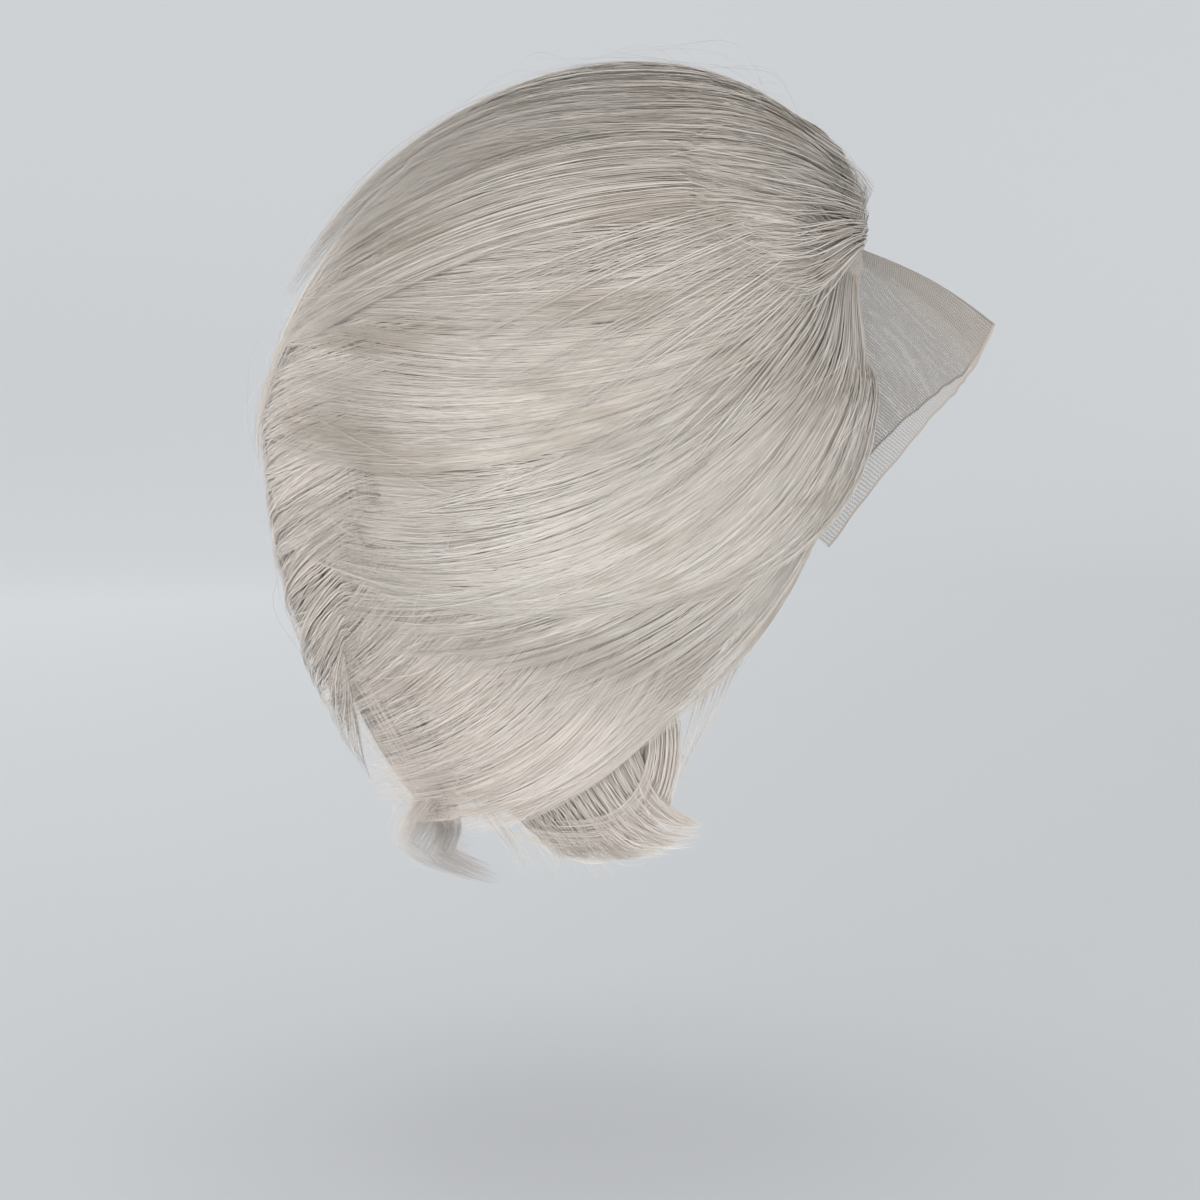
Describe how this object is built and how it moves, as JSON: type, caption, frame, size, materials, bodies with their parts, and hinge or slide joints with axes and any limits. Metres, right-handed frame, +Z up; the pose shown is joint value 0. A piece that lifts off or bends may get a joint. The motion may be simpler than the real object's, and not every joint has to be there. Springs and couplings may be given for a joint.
{
  "type": "lace front bob wig",
  "caption": "Short layered wig in its worn shape, swept back from a sheer untrimmed lace front, with a net cap that is open below for the head.",
  "frame": {"origin": "inside of the cap at the crown, where the top of the head sits", "axes": "+X forward past the face, +Y to the wearer's left, +Z up"},
  "size_m": [0.281, 0.2094, 0.3168],
  "materials": {
    "hair": "silky synthetic fibre, pale platinum",
    "lace": "sheer knotted net",
    "cap_net": "matt knitted net"
  },
  "bodies": {
    "root": {"cap": "cap_net", "lace_front": "lace", "crown_right": "hair", "crown_left": "hair", "sweep_right": "hair", "sweep_left": "hair", "wing_right": "hair", "wing_left": "hair", "side_right": "hair", "side_left": "hair", "back_fall": "hair", "nape_curl_right": "hair", "nape_curl_left": "hair", "nape_flick": "hair"}
  },
  "joints": []
}
